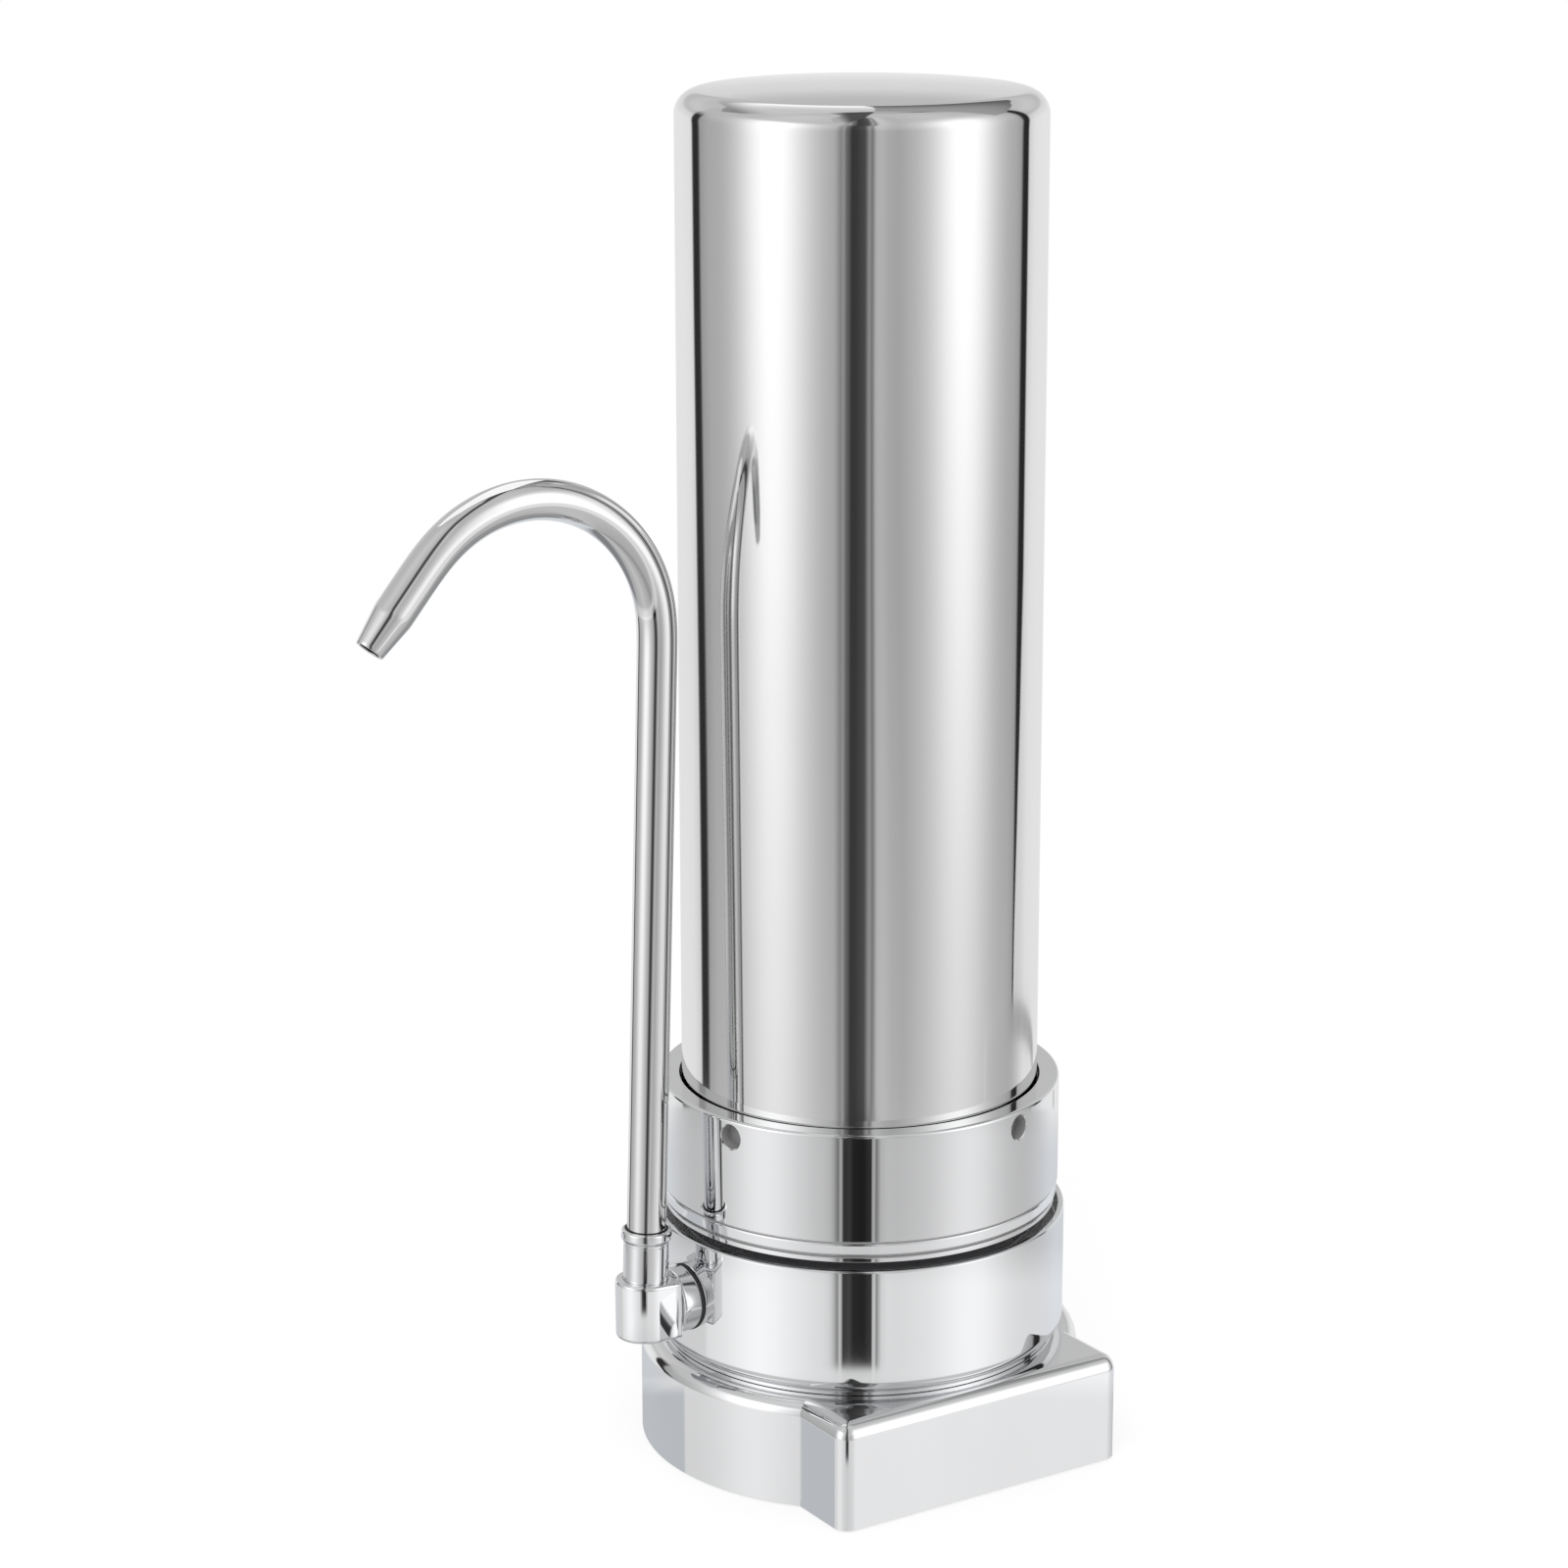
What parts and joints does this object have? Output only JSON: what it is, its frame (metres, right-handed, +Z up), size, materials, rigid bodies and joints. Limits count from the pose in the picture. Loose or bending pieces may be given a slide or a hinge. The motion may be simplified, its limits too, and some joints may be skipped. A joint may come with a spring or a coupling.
{
  "type": "countertop water filter",
  "caption": "Countertop water filter: polished steel housing over a ceramic candle, locking collar, chrome head and foot, swivelling gooseneck spout.",
  "frame": {"origin": "on the housing's axis, at the level of the counter that the foot pad stands on", "axes": "+Z up along the housing, -Y towards the foot's square front, -X towards the spout"},
  "size_m": [0.1987, 0.1336, 0.3521],
  "materials": {
    "polished_steel": "mirror polished stainless steel",
    "chrome_plate": "bright chrome plate",
    "black_rubber": "matt black rubber",
    "black_plastic": "fine textured black plastic",
    "white_plastic": "satin white plastic",
    "ceramic": "unglazed porous ceramic",
    "carbon": "pressed carbon block",
    "stem_brass": "turned brass",
    "screw_steel": "plain stainless screw"
  },
  "bodies": {
    "base": {"base_foot": "chrome_plate", "bottom_plate": "black_plastic", "foot_pad": "black_rubber", "plate_screws": "screw_steel", "base_seal": "black_rubber", "base_screws": "screw_steel", "head": "chrome_plate", "housing_o_ring": "black_rubber", "elbow_gasket": "black_rubber", "elbow_stud": "chrome_plate", "elbow_body": "chrome_plate", "swivel_collar": "chrome_plate", "swivel_bush": "black_plastic", "inlet_washer": "black_rubber", "inlet_fitting": "chrome_plate", "inlet_o_ring": "black_rubber"},
    "candle": {"candle_mount": "white_plastic", "candle_o_rings": "black_rubber", "ceramic_shell": "ceramic", "carbon_core": "carbon"},
    "housing": {"housing_shell": "polished_steel", "housing_flange": "polished_steel"},
    "washer": {"slip_washer": "white_plastic"},
    "collar": {"locking_collar": "chrome_plate"},
    "spout": {"spout_tube": "chrome_plate", "spout_stem": "stem_brass", "spout_o_rings": "black_rubber"},
    "collet": {"inlet_collet": "white_plastic"}
  },
  "joints": [
    {"name": "candle_pull", "type": "slide", "parent": "base", "child": "candle", "axis": [0, 0, 1], "range_m": [0, 0.028]},
    {"name": "housing_lift", "type": "slide", "parent": "base", "child": "housing", "axis": [0, 0, 1], "range_m": [0, 0.27]},
    {"name": "collar_rise", "type": "slide", "parent": "housing", "child": "washer", "axis": [0, 0, 1], "range_m": [0, 0.012]},
    {"name": "collar_turn", "type": "hinge", "parent": "washer", "child": "collar", "pos_m": [0, 0, 0.09], "axis": [0, 0, 1], "range_deg": [0, 1440]},
    {"name": "spout_swivel", "type": "hinge", "parent": "base", "child": "spout", "pos_m": [-0.0654, 0, 0.04688], "axis": [0.0319, 0, 0.9995], "range_deg": [-110, 110]},
    {"name": "collet_press", "type": "slide", "parent": "base", "child": "collet", "axis": [0, -1, 0], "range_m": [0, 0.0015]}
  ],
  "couplings": [
    {"joint": "collar_rise", "follows": "collar_turn", "m_per_rad": 0.00047746}
  ]
}
